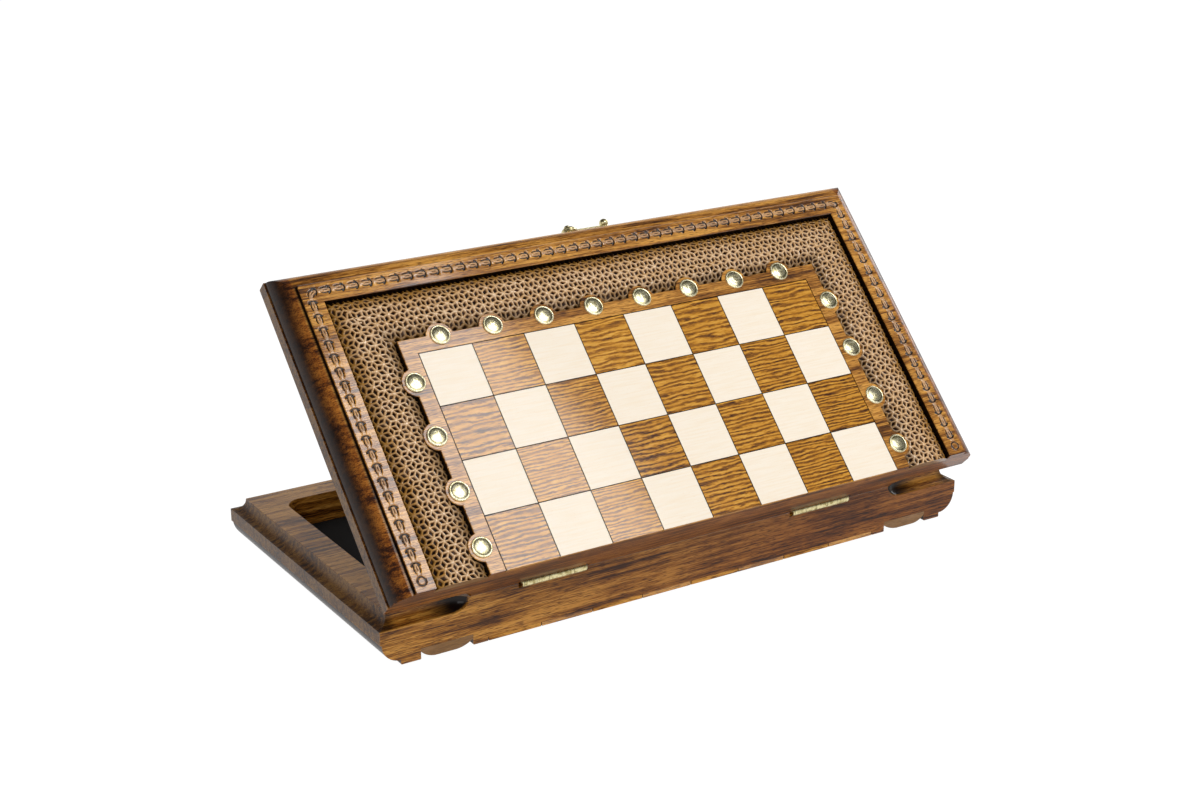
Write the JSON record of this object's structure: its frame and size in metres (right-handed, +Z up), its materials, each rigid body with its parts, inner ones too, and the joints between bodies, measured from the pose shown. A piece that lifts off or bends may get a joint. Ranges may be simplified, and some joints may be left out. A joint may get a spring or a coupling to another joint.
{
  "type": "chess box",
  "caption": "Folding book-type wooden chess box: two hinged trays with the board on their outer faces, carved border, brass studs, hook clasp.",
  "frame": {"origin": "middle of the footprint with the lid open at 45 degrees, on the surface that the base's studs stand on", "axes": "+X along the hinge, +Y from the hinge towards the clasp, +Z up"},
  "size_m": [0.5, 0.2794, 0.2325],
  "materials": {
    "stained_beech": "gloss lacquer over brown stain",
    "carved_beech": "carved, stained and lacquered",
    "cream_maple": "satin lacquer",
    "dark_square_beech": "gloss lacquer over brown stain",
    "stud_brass": "polished, engraved",
    "hardware_brass": "polished",
    "black_felt": "napped"
  },
  "bodies": {
    "base": {"base_case": "stained_beech", "base_carved_border": "carved_beech", "base_light_squares": "cream_maple", "base_dark_squares": "dark_square_beech", "base_studs": "stud_brass", "base_lining": "black_felt", "base_hinge_screws": "hardware_brass", "base_leaf_left": "hardware_brass", "base_leaf_right": "hardware_brass", "hinge_pin_left": "hardware_brass", "hinge_pin_right": "hardware_brass", "clasp_catch": "hardware_brass"},
    "lid": {"lid_case": "stained_beech", "lid_carved_border": "carved_beech", "lid_light_squares": "cream_maple", "lid_dark_squares": "dark_square_beech", "lid_studs": "stud_brass", "lid_lining": "black_felt", "lid_hinge_screws": "hardware_brass", "lid_leaf_left": "hardware_brass", "lid_leaf_right": "hardware_brass", "clasp_washer": "hardware_brass", "clasp_pivot_screw": "hardware_brass"},
    "hook": {"clasp_hook": "hardware_brass"}
  },
  "joints": [
    {"name": "lid_hinge", "type": "hinge", "parent": "base", "child": "lid", "pos_m": [0, -0.11385, 0.03885], "axis": [1, 0, 0], "range_deg": [-45, 135]},
    {"name": "hook_swing", "type": "hinge", "parent": "lid", "child": "hook", "pos_m": [0, 0.05321, 0.22662], "axis": [0, 0.7071, 0.7071], "range_deg": [0, 68]}
  ]
}
